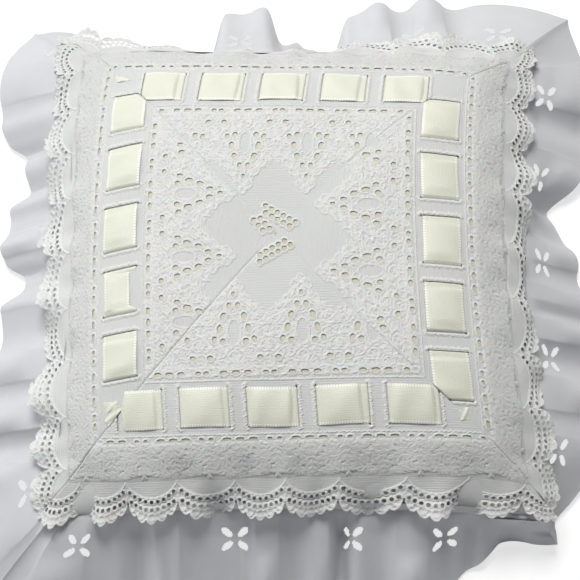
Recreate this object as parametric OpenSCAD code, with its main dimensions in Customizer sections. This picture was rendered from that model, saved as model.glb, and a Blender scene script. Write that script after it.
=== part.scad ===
// Ring bearer pillow: a stuffed square pillow whose face is four mitred lengths of wide
// eyelet edging with satin ribbon woven through them, over a gathered cotton ruffle.
// +Z is up through the crown, +X right, +Y far; the origin is under the middle of the belly.

/* [Pillow] */
// Width of the stuffed pillow from seam to seam, along X
pillow_w = 206; // [190:1:230]
// Depth of the stuffed pillow from seam to seam, along Y
pillow_d = 212; // [190:1:230]
// Height of the crown above the side seam
crown_h = 35; // [25:1:42]
// Height of the side seam above the surface that the pillow lies on
seam_h = 26; // [20:1:30]
// How far each side pulls in halfway along, as a share of half the side
pull_in = 0.03; // [0:0.005:0.05]

/* [Eyelet edging] */
// Length of one repeat: one ribbon window and one scallop
repeat_l = 27; // [22:0.5:30]
// Thickness of the embroidered cotton
lace_t = 0.5; // [0.4:0.1:0.8]
// How far the loose border stands out past the pillow at the crest of a scallop
flange_w = 20; // [15:1:22]
// How much shorter the border is where two scallops meet
scallop_deep = 6; // [3:1:8]
// How steeply the loose border droops
flange_droop = 38; // [30:1:45]

/* [Ribbon] */
// Width of the satin ribbon
ribbon_w = 16; // [12:1:19]
// Thickness of the satin ribbon
ribbon_t = 0.3; // [0.2:0.1:0.4]
// Length of ribbon that shows in each window
window_l = 19; // [15:1:20]
// Number of windows on each side, or as many as fit between the mitres
windows = 5; // [3:2:5]

/* [Ruffle] */
// Thickness of the ruffle's cotton
ruffle_t = 0.5; // [0.4:0.1:0.6]
// How far the ruffle stands out past the side seam
ruffle_w = 34; // [28:1:42]
// Number of gathers round the pillow
gathers = 28; // [20:4:32]

/* [Hidden] */

// A face panel cut flat is this much larger than the stuffed pillow, which rounds it up.
flat_gain = 1.115;
round_power = flat_gain / (flat_gain - 1);
half_w = pillow_w / 2;
half_d = pillow_d / 2;
flat_half = half_w * flat_gain;

// Depths of the layers under the outer face of the edging. Each has clearance to the next.
ribbon_over = -ribbon_t - 0.15;
ribbon_under = lace_t + 0.15;
lining_out = lace_t + 0.8;
lining_in = lining_out + 0.4;
casing_out = lining_in + 0.3;
casing_in = casing_out + 0.4;
fill_out = casing_in + 0.4;
// Half the gap between face and back panels, where the ruffle's heading is sewn in
heading_gap = ruffle_t / 2 + 0.05;
belly_h = seam_h + 5;

// The band that the ribbon is woven through, as shares of the flat half side
band_in = 0.5225;
band_out = 0.7053;
band_mid = (band_in + band_out) / 2;
slot_l = 2.6;
slot_play = 0.6;
slot_deep = 9;
// The last slot's middle stays this far inside the mitre
slot_margin = 4;
windows_fit = 2 * floor((band_mid * flat_half - window_l / 2 - slot_margin) / repeat_l) + 1;
window_count = min(windows, windows_fit);
lace_start = 0.004;
lace_stop = 0.87;
mitre_gap = 0.1;
repeats = 8;
scallop_steps = 4;

// Grid sizes: panels, edging rows past the pillow, and stations across a ribbon
panel_n = 14;
flange_rows = 2;
ribbon_cols = 3;
ribbon_rows = [for (c = [0 : ribbon_cols]) band_mid + ribbon_w * (c / ribbon_cols - 0.5) / flat_half];
lace_rows = concat([lace_start, 0.2, 0.38], ribbon_rows, [0.75, 0.81, lace_stop]);

// Ruffle profile: shares of its width and of the seam's height at each row, and how many
// millimetres the gathers sway it out and up there
ruffle_reach = [0, 0.31, 0.55, 0.75, 1];
ruffle_fall = [0, 0.33, 0.62, 0.83, 0.92];
ruffle_sway = [0, 1.5, 2.5, 3, 2.6];
ruffle_lift = [0, 1, 1.6, 1.6, 1.3];
steps_per_gather = 5;
// Where the ruffle starts to fan round a corner, as a share of half the side's cloth, and how
// much of the cloth is pushed towards the corners
corner_from = 0.7;
corner_fullness = 0.4;

satin_cream = [0.93, 0.92, 0.80];
cotton_white = [0.95, 0.95, 0.94];
lining_cream = [0.86, 0.83, 0.74];
ruffle_white = [0.88, 0.88, 0.90];

// ---- Shape of the stuffed pillow ----

// Flat distance from the middle, as a share of the half side, to distance on the pillow
function rounded(s) = flat_gain * s - (flat_gain - 1) * sign(s) * pow(abs(s), round_power);
function swell(r) = sqrt(max(0, 1 - pow(abs(r), 3)));
function pulled(r, across) = r * (1 - pull_in * r * r * (1 - across * across));

// A point of the face, d below the edging's outer face; a and b run from -1 to 1 on the flat panel.
// lift raises the rim and leaves the crown where it is.
function face_point(a, b, d, lift = 0) =
    let (x = rounded(a), y = rounded(b))
    [(half_w - d) * pulled(x, y), (half_d - d) * pulled(y, x),
     seam_h + lift + (crown_h - d - lift) * swell(x) * swell(y)];

// The same under the pillow, flat where the belly rests
function belly_point(a, b, d, lift = 0) =
    let (x = rounded(a), y = rounded(b), rest = seam_h - lift - (d - lining_out))
    [(half_w - d) * pulled(x, y), (half_d - d) * pulled(y, x),
     seam_h - lift - min(rest, (belly_h - d - lift) * swell(x) * swell(y))];

function smooth(x) = let (c = max(0, min(1, x))) c * c * (3 - 2 * c);

function panel(n) = [for (i = [0 : n]) -1 + 2 * i / n];
function face_grid(d, lift) =
    [for (b = panel(panel_n)) [for (a = panel(panel_n)) face_point(a, b, d, lift)]];
function belly_grid(d, lift) =
    [for (b = panel(panel_n)) [for (a = panel(panel_n)) belly_point(a, b, d, lift)]];

// ---- Closed sheet between two grids of points; upper lies on the side that +Z sees ----
// Each cell is cut along the diagonal that points to the middle, so a corner cell isn't flattened.

function flat_list(grid) = [for (row = grid) for (p = row) p];

module sheet(upper, lower, ring = false) {
    rows = len(upper);
    cols = len(upper[0]);
    under = rows * cols;
    last = ring ? cols - 1 : cols - 2;
    function at(r, c) = r * cols + c % cols;
    function quad(p, q, r, s, turn = false) = turn ? [[q, r, s], [q, s, p]] : [[p, q, r], [p, r, s]];
    function turn(r, c) = (2 * c + 2 - cols) * (2 * r + 2 - rows) < 0;
    faces = concat(
        [for (r = [0 : rows - 2]) for (c = [0 : last]) each
            quad(at(r, c), at(r + 1, c), at(r + 1, c + 1), at(r, c + 1), turn(r, c))],
        [for (r = [0 : rows - 2]) for (c = [0 : last]) each
            quad(under + at(r + 1, c + 1), under + at(r + 1, c), under + at(r, c),
                 under + at(r, c + 1), turn(r, c))],
        [for (c = [0 : last]) each
            quad(at(0, c), at(0, c + 1), under + at(0, c + 1), under + at(0, c))],
        [for (c = [0 : last]) let (r = rows - 1) each
            quad(at(r, c + 1), at(r, c), under + at(r, c), under + at(r, c + 1))],
        ring ? [] : [for (r = [0 : rows - 2]) each
            quad(at(r + 1, 0), at(r, 0), under + at(r, 0), under + at(r + 1, 0))],
        ring ? [] : [for (r = [0 : rows - 2]) let (c = cols - 1) each
            quad(at(r, c), at(r + 1, c), under + at(r + 1, c), under + at(r, c))]);
    polyhedron(points = concat(flat_list(upper), flat_list(lower)), faces = faces, convexity = 6);
}

// ---- Inside ----

module fibre_fill() {
    color("white") sheet(face_grid(fill_out, heading_gap), belly_grid(fill_out, heading_gap));
}

module casing_top() {
    color(lining_cream) sheet(face_grid(casing_out, 0), face_grid(casing_in, 0));
}

module casing_bottom() {
    color(lining_cream) sheet(belly_grid(casing_in, 0), belly_grid(casing_out, 0));
}

module face_lining() {
    color(lining_cream) sheet(face_grid(lining_out, heading_gap), face_grid(lining_in, heading_gap));
}

module back_panel() {
    color(cotton_white) sheet(belly_grid(lining_in, heading_gap), belly_grid(lining_out, heading_gap));
}

// ---- Eyelet edging: one mitred triangle for each side ----

// Turns a point of the far side, given as (along, outward), to the side that is asked for
function turned(along, out, side) =
    side == "far" ? [along, out] : side == "near" ? [-along, -out]
    : side == "right" ? [out, -along] : [-out, along];

// Half the length of a row of edging, short of the mitre, as a share of the flat half side
function mitred(out) = out - mitre_gap / flat_half;

// How far the loose border reaches at t, which runs from -1 to 1 along the pillow's side.
// It is eased in at the mitred corners, which are gathered.
function scallop(t) = flange_w * (1 - 0.2 * smooth((abs(t) - 0.88) / 0.12))
    - scallop_deep * (1 - pow(abs(cos(90 * (t + 1) * repeats)), 0.6));

function lace_face(side, d) =
    [for (out = lace_rows)
        [for (i = [-repeats * scallop_steps / 2 : repeats * scallop_steps / 2])
            let (t = 2 * i / (repeats * scallop_steps), p = turned(t * mitred(out), out, side))
            face_point(p[0], p[1], d)]];

// The loose border, which leaves the pillow at the last row of lace_face and droops outward
function flange(side, d) =
    [for (j = [1 : flange_rows])
        [for (i = [-repeats * scallop_steps / 2 : repeats * scallop_steps / 2])
            let (t = 2 * i / (repeats * scallop_steps), reach = scallop(t) * j / flange_rows,
                 p = turned(t * mitred(lace_stop), lace_stop, side),
                 stitched = face_point(p[0], p[1], 0),
                 away = turned(t * reach * cos(flange_droop), reach * cos(flange_droop), side))
            [stitched[0] + away[0], stitched[1] + away[1], stitched[2] - reach * sin(flange_droop) - d]]];

// A buttonhole at each end of every window, for the ribbon to dive through
window_range = [-(window_count - 1) / 2 : (window_count - 1) / 2];
slot_slant = 17;

module slots(side) {
    for (k = window_range) for (end = [-1, 1]) {
        p = turned((k * repeat_l + end * window_l / 2) / flat_half, band_mid, side);
        across = (ribbon_w + slot_play) * cos(slot_slant);
        size = side == "far" || side == "near" ? [slot_l, across, slot_deep] : [across, slot_l, slot_deep];
        translate(face_point(p[0], p[1], 0)) cube(size, center = true);
    }
}

module lace(side) {
    color(cotton_white) difference() {
        sheet(concat(lace_face(side, 0), flange(side, 0)),
              concat(lace_face(side, lace_t), flange(side, lace_t)));
        slots(side);
    }
}

module lace_near() { lace("near"); }
module lace_right() { lace("right"); }
module lace_far() { lace("far"); }
module lace_left() { lace("left"); }

// ---- Ribbon woven through the slots ----

// Stations along a ribbon: its tucked ends, and both sides of each slot
ribbon_end = (window_count / 2) * repeat_l - 0.5;
slot_run = slot_l / 2 - 0.2;
ribbon_stations = concat([-ribbon_end],
    [for (k = window_range) each
        [k * repeat_l - window_l / 2 - slot_run, k * repeat_l - window_l / 2 + slot_run,
         k * repeat_l - window_l / 6, k * repeat_l + window_l / 6,
         k * repeat_l + window_l / 2 - slot_run, k * repeat_l + window_l / 2 + slot_run]],
    [ribbon_end]);
function over_lace(s) = min([for (k = window_range) abs(s - k * repeat_l)]) < window_l / 2;

function ribbon_grid(side, d) =
    [for (out = ribbon_rows)
        [for (s = ribbon_stations)
            let (p = turned(s / flat_half, out, side))
            face_point(p[0], p[1], d + (over_lace(s) ? ribbon_over : ribbon_under))]];

// The quarter of the face between two mitres. A ribbon is cut to it, so no two ribbons meet.
module quarter(side) {
    shift = turned(0, 4 * mitre_gap, side);
    translate([shift[0], shift[1], -1]) linear_extrude(seam_h + crown_h + 3)
        polygon([[0, 0], for (end = [-1, 1]) let (p = turned(end, 1, side)) [p[0] * half_w, p[1] * half_d]]);
}

module ribbon(side) {
    color(satin_cream) intersection() {
        sheet(ribbon_grid(side, 0), ribbon_grid(side, ribbon_t));
        quarter(side);
    }
}

module ribbon_near() { ribbon("near"); }
module ribbon_right() { ribbon("right"); }
module ribbon_far() { ribbon("far"); }
module ribbon_left() { ribbon("left"); }

// ---- Ruffle: a gathered ring sewn into the side seam ----

// Compass direction in which the ruffle leaves side k: square to it, fanning round the corners.
// u runs from -1 to 1 along the side's share of the cloth.
function away_angle(k, u) = k * 90 + 45 * sign(u) * smooth((abs(u) - corner_from) / (1 - corner_from));

function seam_point(k, u) =
    let (along = (1 - corner_fullness) * u + corner_fullness * sin(90 * u),
         p = turned(-along, 1, ["right", "far", "left", "near"][k]))
    [half_w * pulled(p[0], p[1]), half_d * pulled(p[1], p[0])];

function ruffle_grid(d) =
    let (cols = gathers * steps_per_gather)
    [for (j = [len(ruffle_reach) - 1 : -1 : 0])
        [for (i = [0 : cols - 1])
            let (q = 4 * i / cols, k = floor(q), u = 2 * (q - k) - 1,
                 wave = cos(360 * i / steps_per_gather), p = seam_point(k, u), a = away_angle(k, u),
                 reach = (ruffle_w + lining_in) * ruffle_reach[j] - lining_in + ruffle_sway[j] * wave)
            [p[0] + reach * cos(a), p[1] + reach * sin(a),
             seam_h * (1 - ruffle_fall[j]) + ruffle_lift[j] * wave
             + (j == 0 ? 0.5 - d : 1 - d) * ruffle_t]]];

module gathered_ruffle() {
    color(ruffle_white) sheet(ruffle_grid(0), ruffle_grid(1), ring = true);
}

fibre_fill();
casing_top();
casing_bottom();
face_lining();
back_panel();
lace_near();
lace_right();
lace_far();
lace_left();
ribbon_near();
ribbon_right();
ribbon_far();
ribbon_left();
gathered_ruffle();
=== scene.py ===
"""Ring bearer pillow: the cloth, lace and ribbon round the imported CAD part.

Lengths are in millimetres until mesh_object() turns them into metres. Each side's edging is drawn flat,
as t along the side and w outward from the middle of the face, and is then laid over the pillow.
"""

import bpy
import numpy as np
from mathutils import Matrix, Vector


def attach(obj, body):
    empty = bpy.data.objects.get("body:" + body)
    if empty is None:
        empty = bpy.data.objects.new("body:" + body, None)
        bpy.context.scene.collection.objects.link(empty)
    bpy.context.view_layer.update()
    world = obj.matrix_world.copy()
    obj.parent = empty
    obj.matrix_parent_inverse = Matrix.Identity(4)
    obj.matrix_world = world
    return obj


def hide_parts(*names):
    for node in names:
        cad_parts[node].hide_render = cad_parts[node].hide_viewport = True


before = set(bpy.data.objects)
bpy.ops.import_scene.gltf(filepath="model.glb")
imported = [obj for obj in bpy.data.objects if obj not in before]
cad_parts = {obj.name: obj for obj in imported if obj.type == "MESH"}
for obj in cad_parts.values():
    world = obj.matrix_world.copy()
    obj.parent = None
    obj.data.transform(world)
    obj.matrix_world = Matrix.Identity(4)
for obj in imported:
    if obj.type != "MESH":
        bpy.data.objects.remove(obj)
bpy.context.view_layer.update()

# ---- The pillow's form, as in the CAD part ----
PILLOW_W, PILLOW_D = 206.0, 212.0
CROWN_H, SEAM_H, BELLY_H = 35.0, 26.0, 31.0
PULL_IN, FLAT_GAIN = 0.03, 1.115
ROUND_POWER = FLAT_GAIN / (FLAT_GAIN - 1)
FLAT_HALF = PILLOW_W / 2 * FLAT_GAIN
LEAVE_W = 100.0  # where the edging leaves the pillow and stands free
DROOP = np.radians(38)
BAND_MID = 69.1
BAND_EDGES = (58.3, 80.2)
RIBBON_W = 16.0
LUMPS_CROWN, LUMPS_SIDE = 0.7, 2.2  # unevenness of the filling on the crown, and added towards the seam
CLING_W = 111.0  # where a border that lies down against the pillow turns to hang
WINDOWS = range(-2, 3)  # the ribbon shows five times on each side
WINDOW_LESS = 8.5  # how much shorter a window is than its repeat
REPEAT = 27.0  # the eyelet pattern's repeat as it is drawn
LOBE = 23.0  # the scalloped edge's own repeat as it is drawn
EDGE_REACH = 121.5  # the edging's mesh is made this far out before it is cut to its edge
GRID = 0.4  # spacing of the edging's mesh

# Each side: how its flat (t, w) turns into the face's (x, y), the length of a repeat as sewn, the place of
# its middle window, how much its windows slant, where its scallops meet, and how far the free border
# spreads at t
SIDES = {
    "far": dict(
        turn=lambda t, w: (t, w), repeat=27.0, phase=-0.8, slant=0,
        cusps=[-116, -93, -70, -47, -24, -1, 22, 45, 68, 91, 114],
        spread=[(-120, 1.0), (-84, 0.95), (-64, 0.5), (-52, 0), (14, 0), (30, 0.75), (50, 1), (120, 1.05)],
    ),
    "near": dict(
        turn=lambda t, w: (t, -w), repeat=28.5, phase=-3.8, slant=0,
        cusps=[-117, -93, -70, -47, -22, -1, 21, 48, 73, 97, 120],
        spread=[(-120, 1.45), (-75, 1.4), (-55, 1.15), (60, 1.2), (90, 1.2), (120, 1.1)],
    ),
    "left": dict(
        turn=lambda t, w: (-w, t), repeat=25.9, phase=4.4, slant=0.13,
        cusps=[-117, -94, -71, -47, -26, -3, 20, 40, 61, 82, 103, 126],
        spread=[(-120, 1.25), (-72, 1.25), (-52, 1), (60, 0.95), (120, 1.0)],
    ),
    "right": dict(
        turn=lambda t, w: (w, t), repeat=27.7, phase=-1.9, slant=0,
        cusps=[-113, -90, -67, -44, -21, 2, 25, 48, 71, 94, 117],
        spread=[(-120, 1.1), (-42, 1), (-28, 0.35), (-18, 0), (0, 0), (7, 0.4), (22, 0.85), (36, 1),
                (120, 1.05)],
    ),
}

# The face lies askew on the pillow: (i, j): millimetres in x and in y, times x^i y^j in hundreds,
# rounded from a fit to the photo
SKEW = {
    (0, 0): (-8.5, 7.5), (1, 0): (-2.5, 1.5), (0, 1): (0, 2.5),
    (2, 0): (3.5, 0.5), (1, 1): (-1, -2.5), (0, 2): (6.5, -2.5),
    (3, 0): (0, -3), (2, 1): (-1.5, -1), (1, 2): (0, -1.5), (0, 3): (1.5, -6),
}


def smooth(x):
    """0 up to x = 0, 1 from x = 1, and an even S between."""
    x = np.clip(x, 0, 1)
    return x * x * (3 - 2 * x)


def rounded(s):
    """Share of the way out on the stuffed pillow, for the share s on the flat cloth."""
    return FLAT_GAIN * s - (FLAT_GAIN - 1) * np.sign(s) * np.abs(s) ** ROUND_POWER


def swell(r):
    """Height of the stuffing across the pillow: 1 in the middle, 0 at the seam."""
    return np.sqrt(np.maximum(0, 1 - np.abs(r) ** 3))


def lumps(x, y):
    """Slow unevenness of the filling, in millimetres, from -1 to 1."""
    return (
        0.5 * np.sin(x / 17.0 + 0.6) * np.sin(y / 21.0 + 1.9)
        + 0.3 * np.sin(x / 9.0 - y / 13.0 + 0.4)
        + 0.2 * np.sin(x / 6.1 + y / 7.3)
    )


def out_share(x, y):
    """How far out flat x and y come on the stuffed pillow, from -1 at one seam to 1 at the other."""
    return rounded(np.clip(x / FLAT_HALF, -1, 1)), rounded(np.clip(y / FLAT_HALF, -1, 1))


def pulled_in(f, g):
    """Place in plan of the shares f and g: the seams bow in between the corners."""
    x = PILLOW_W / 2 * f * (1 - PULL_IN * f * f * (1 - g * g))
    y = PILLOW_D / 2 * g * (1 - PULL_IN * g * g * (1 - f * f))
    return x, y


def face_base(x, y):
    """The edging's outer face on the pillow, for flat positions x and y."""
    f, g = out_share(x, y)
    height = swell(f) * swell(g)
    uneven = (LUMPS_CROWN + LUMPS_SIDE * (1 - height)) * height * lumps(x, y)
    return np.stack([*pulled_in(f, g), SEAM_H + CROWN_H * height + uneven], -1)


def belly_base(x, y):
    """The back's outer face, flat where the pillow rests."""
    f, g = out_share(x, y)
    fall = np.minimum(SEAM_H, BELLY_H * swell(f) * swell(g))
    return np.stack([*pulled_in(f, g), SEAM_H - fall], -1)


def normals(surface, x, y, step=0.4):
    """Outward unit normals of a surface that is a function of flat x and y."""
    dx = surface(x + step, y) - surface(x - step, y)
    dy = surface(x, y + step) - surface(x, y - step)
    n = np.cross(dx, dy)
    return n / np.maximum(np.linalg.norm(n, axis=-1, keepdims=True), 1e-9)


def on_face(x, y, lift):
    """A point lift millimetres above the edging's outer face."""
    limit = FLAT_HALF - 0.5
    n = normals(face_base, np.clip(x, -limit, limit), np.clip(y, -limit, limit))
    return face_base(x, y) + n * np.asarray(lift)[..., None]


# ---- Camera ----


AZIMUTH, ELEVATION, ROLL = np.radians(0.5), np.radians(74.1), np.radians(-0.6)
CAMERA_FAR = 0.68
CAMERA_AIM = (-0.0025, -0.0133, 0.050)
LENS_MM, SENSOR_MM = 102.0, 36.0


def add_camera():
    """Above the pillow and a little to the near side, a long lens close in."""
    level = np.cos(ELEVATION)
    back = Vector((np.sin(AZIMUTH) * level, -np.cos(AZIMUTH) * level, np.sin(ELEVATION)))
    data = bpy.data.cameras.new("camera")
    data.lens, data.sensor_width, data.clip_start = LENS_MM, SENSOR_MM, 0.01
    camera = bpy.data.objects.new("camera", data)
    bpy.context.scene.collection.objects.link(camera)
    turn = (-back).to_track_quat("-Z", "Y").to_matrix().to_4x4() @ Matrix.Rotation(ROLL, 4, "Z")
    camera.matrix_world = Matrix.Translation(Vector(CAMERA_AIM) + back * CAMERA_FAR) @ turn
    bpy.context.scene.camera = camera


# ---- Mesh making ----


def mesh_object(name, points, faces, flat, work, material):
    """An object of points in millimetres that rides on the pillow. flat is each point's place on the
    flat cloth, and work, if there is any, a value for each point."""
    mesh = bpy.data.meshes.new(name)
    mesh.from_pydata((np.asarray(points) * 0.001).tolist(), [], np.asarray(faces).tolist())
    loops = np.empty(len(mesh.loops), np.int32)
    mesh.loops.foreach_get("vertex_index", loops)
    layer = mesh.uv_layers.new(name="flat")
    layer.data.foreach_set("uv", (np.asarray(flat)[loops] * 0.001).astype(np.float32).ravel())
    if work is not None:
        layer = mesh.attributes.new("work", "FLOAT", "POINT")
        layer.data.foreach_set("value", np.asarray(work, np.float32))
    mesh.polygons.foreach_set("use_smooth", [True] * len(mesh.polygons))
    mesh.update()
    thing = bpy.data.objects.new(name, mesh)
    bpy.context.scene.collection.objects.link(thing)
    mesh.materials.append(material)
    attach(thing, "root")
    return thing


def grid_faces(rows, cols, wrap=False):
    """Four-sided faces of a grid of points, closed on itself along a row if wrap is set."""
    r, c = np.meshgrid(np.arange(rows - 1), np.arange(cols if wrap else cols - 1), indexing="ij")
    at = lambda i, j: (i * cols + j % cols).ravel()
    return np.stack([at(r, c), at(r, c + 1), at(r + 1, c + 1), at(r + 1, c)], -1)


def compact(points, faces, *values):
    """Drops the points that no face uses."""
    used = np.unique(faces)
    index = np.full(len(points), -1)
    index[used] = np.arange(len(used))
    return points[used], index[faces], *[v[used] for v in values]


def hole_frame(t, w, hole):
    """Place of flat points against a hole (t, w, half along t, half along w, turn): offsets from its
    core, the core's own offset, and the distance outside its rim. A long hole is a buttonhole."""
    ht, hw, a, b, turn = hole
    c, s = np.cos(turn), np.sin(turn)
    u, v = (t - ht) * c + (w - hw) * s, -(t - ht) * s + (w - hw) * c
    if b > 4 * a:
        core = np.clip(v, a - b, b - a)
        r = np.maximum(np.hypot(u, v - core), 1e-6)
        return u, v - core, core, a / r, r - a
    q = np.maximum(np.hypot(u / a, v / b), 1e-6)
    return u, v, 0 * v, 1 / q, (q - 1) * np.hypot(u, v) / q


def hole_depth(t, w, hole):
    return hole_frame(t, w, hole)[4]


def snap_holes(t, w, holes, reach):
    """Moves the grid points that are within reach of a hole's rim onto it. Returns which are inside."""
    inside = np.zeros(t.shape, bool)
    t0, w0 = t[0, 0], w[0, 0]
    for hole in holes:
        ht, hw, a, b, turn = hole
        far = max(a, b) + 2 * GRID
        i0, j0 = max(int((hw - far - w0) / GRID), 0), max(int((ht - far - t0) / GRID), 0)
        view = (slice(i0, int((hw + far - w0) / GRID) + 2), slice(j0, int((ht + far - t0) / GRID) + 2))
        u, v, core, scale, depth = hole_frame(t[view], w[view], hole)
        near = np.abs(depth) < reach
        scale = np.where(near, scale, 1)
        u, v, c, s = u * scale, core + v * scale, np.cos(turn), np.sin(turn)
        t[view], w[view] = ht + u * c - v * s, hw + u * s + v * c
        inside[view] |= (depth < 0) & ~near
    return inside


# ---- One repeat of the edging and one lobe of its edge, drawn on fine rasters of raised stitching ----

RASTER = 0.15
HOLE_RIM = 0.7
SLOT_HALF = 0.38


def scallop_w(x):
    """The inner row of small eyelets; x is measured from where two scallops meet."""
    return 102.8 + 6.9 * np.abs(np.sin(np.pi * x / LOBE)) ** 0.65


def edge_w(x):
    """The free edge: a small fan for each fifth of a scallop."""
    return scallop_w(x) + 7.2 + 1.9 * np.abs(np.sin(5 * np.pi * x / LOBE)) ** 0.7


def both_ways(items):
    """Mirrors ovals or leaves (x, w, length, width, turn) to both sides of x = 0."""
    return [(s * x, w, l, b, s * a) for x, w, l, b, a in items for s in ((1, -1) if x else (1,))]


def eyelets():
    """(x, w, half along x, half along w, turn) of one repeat's eyelets, x from the V's axis."""
    return both_ways([
        (0, 24.0, 0.75, 1.15, 0),
        (1.75, 28.7, 1.05, 1.45, 0),
        (4.2, 32.9, 1.15, 1.65, -0.3),
        (5.8, 37.9, 1.15, 1.85, -0.15),
        (4.6, 43.0, 1.2, 1.35, 0),
        (8.0, 42.2, 1.05, 1.45, -0.25),
        (10.0, 49.4, 1.25, 1.1, 0.3),
        (0, 55.4, 1.65, 0.95, 0),
        (4.8, 55.4, 1.5, 0.95, 0),
        (11.9, 55.4, 1.15, 0.9, 0.2),
        (0, 82.3, 1.7, 0.8, 0),
        (5.2, 82.3, 1.7, 0.8, 0),
        (11.6, 82.3, 0.95, 0.7, 0),
    ])


def blind_rings():
    """Stitched rings of the border that aren't cut through."""
    return both_ways([
        (9.5, 87.0, 0.95, 0.75, 0.4), (0, 90.0, 0.9, 0.8, 0), (2.6, 93.0, 0.8, 0.8, 0),
        (7.2, 95.2, 0.95, 0.85, 0.3),
    ])


def scallop_eyelets(out, count):
    """A row of small round eyelets along a scallop, out millimetres past the inner row."""
    x = np.linspace(0.0, LOBE, 400)
    w = scallop_w(x)
    normal = np.stack([-np.gradient(w, x), np.ones_like(x)], -1)
    normal /= np.linalg.norm(normal, axis=1)[:, None]
    px, pw = x + out * normal[:, 0], w + out * normal[:, 1]
    keep = (px > 0.8) & (px < LOBE - 0.8)
    px, pw = px[keep], pw[keep]
    run = np.concatenate([[0], np.cumsum(np.hypot(np.diff(px), np.diff(pw)))])
    at = (np.arange(count) + 0.5) / count * run[-1]
    return [(float(np.interp(s, run, px)), float(np.interp(s, run, pw)), 0.8, 0.8, 0.0) for s in at]


class Tile:
    """Raised stitching on a strip that joins up with itself along x."""

    def __init__(self, period, low, high):
        self.period, self.low = period, low
        self.n = round(period / RASTER)
        self.step = period / self.n
        self.x = np.arange(self.n) * self.step
        self.w = np.arange(low, high, RASTER)
        self.relief = np.zeros((len(self.w), self.n))

    def _stamp(self, x0, w0, far, shape):
        i0, i1 = np.searchsorted(self.w, (w0 - far, w0 + far))
        gx = (self.x[None, :] - x0 + self.period / 2) % self.period - self.period / 2
        gw = self.w[i0:i1, None] - w0
        np.maximum(self.relief[i0:i1], shape(gx + 0 * gw, gw + 0 * gx), out=self.relief[i0:i1])

    def petal(self, x, w, length, width, turn, height):
        """A satin-stitched leaf: pointed at both ends, round across."""
        c, s = np.cos(turn), np.sin(turn)

        def shape(gx, gw):
            along, across = gx * c + gw * s, -gx * s + gw * c
            half = width / 2 * np.sqrt(np.maximum(0, 1 - (2 * along / length) ** 2)) + 1e-6
            return height * np.sqrt(np.maximum(0, 1 - (across / half) ** 2)) * (half > 0.01)

        self._stamp(x, w, length / 2 + 1, shape)

    def ring(self, x, w, rx, rw, turn, rim, height, centre=0.45):
        """A stitched rim round an oval."""
        c, s = np.cos(turn), np.sin(turn)

        def shape(gx, gw):
            u, v = gx * c + gw * s, -gx * s + gw * c
            q = np.maximum(np.hypot(u / rx, v / rw), 1e-6)
            depth = (q - 1) * np.hypot(u, v) / q
            return height * np.sqrt(np.maximum(0, 1 - ((depth - rim * centre) / (rim * 0.6)) ** 2))

        self._stamp(x, w, max(rx, rw) + 2 * rim, shape)

    def spokes(self, x, w, rx, rw, turn, count, height):
        """Short stitches that fan out inside a loop."""
        for k in range(count):
            a = turn + 2 * np.pi * k / count
            px, pw = x + 0.6 * rx * np.cos(a), w + 0.6 * rw * np.sin(a)
            self.petal(px, pw, 0.7 * max(rx, rw), 0.5, a, height)

    def cord(self, x, w, width, height):
        """A raised cord through the points x, w."""
        gaps = np.hypot(np.diff(x), np.diff(w))
        for i in range(len(gaps)):
            turn = np.arctan2(w[i + 1] - w[i], x[i + 1] - x[i])
            px, pw = (x[i] + x[i + 1]) / 2, (w[i] + w[i + 1]) / 2
            self.petal(px, pw, gaps[i] + 2.2 * width, width, turn, height)

    def sample(self, x, w):
        """Height of the stitching at the points x, w."""
        gx = (x % self.period) / self.step
        gw = np.clip((w - self.low) / RASTER, 0, len(self.w) - 1.001)
        i, j = np.floor(gw).astype(int), np.floor(gx).astype(int)
        fi, fj = gw - i, gx - j
        j, j1 = j % self.n, (j + 1) % self.n
        r = self.relief
        low = r[i, j] * (1 - fj) + r[i, j1] * fj
        high = r[i + 1, j] * (1 - fj) + r[i + 1, j1] * fj
        return (low * (1 - fi) + high * fi) * (w >= self.low)


# Outlined petals round the V: (x, w, half along x, half along w, turn)
LOOPS = [
    (0, 18.6, 1.3, 1.7, 0), (2.3, 20.4, 1.2, 2.0, -0.7), (5.0, 26.2, 1.3, 2.2, -0.9),
    (7.6, 30.0, 1.5, 2.4, -1.0), (9.8, 34.6, 1.5, 2.4, -1.1), (10.2, 39.6, 2.4, 1.8, 0.2),
    (12.2, 44.6, 1.6, 2.2, 0.3), (6.4, 47.4, 2.9, 1.9, 0.1), (0, 49.0, 1.9, 2.0, 0),
    (5.6, 52.0, 2.2, 1.4, 0.2), (13.5, 50.6, 2.0, 2.4, 0), (2.0, 52.6, 1.4, 1.2, 0.4),
    (13.5, 34.5, 1.3, 1.7, 0),
]

# Leaves along the V's arms: (x, w, length, width, turn)
LEAVES = [
    (3.3, 24.6, 2.4, 1.1, 1.0), (6.2, 28.6, 2.6, 1.1, 1.0), (8.4, 33.4, 2.6, 1.1, 1.1),
    (12.6, 40.6, 2.4, 1.5, 0.5), (9.6, 45.6, 2.0, 1.4, 0.9), (2.8, 46.8, 1.8, 1.2, 0.3),
    (9.0, 53.4, 2.4, 1.2, 0.2), (8.2, 56.2, 2.2, 1.0, 0.0),
]
PLAIN_LEAF = (0, 39.3, 2.4, 5.0, 0)  # the V's unworked middle


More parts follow.
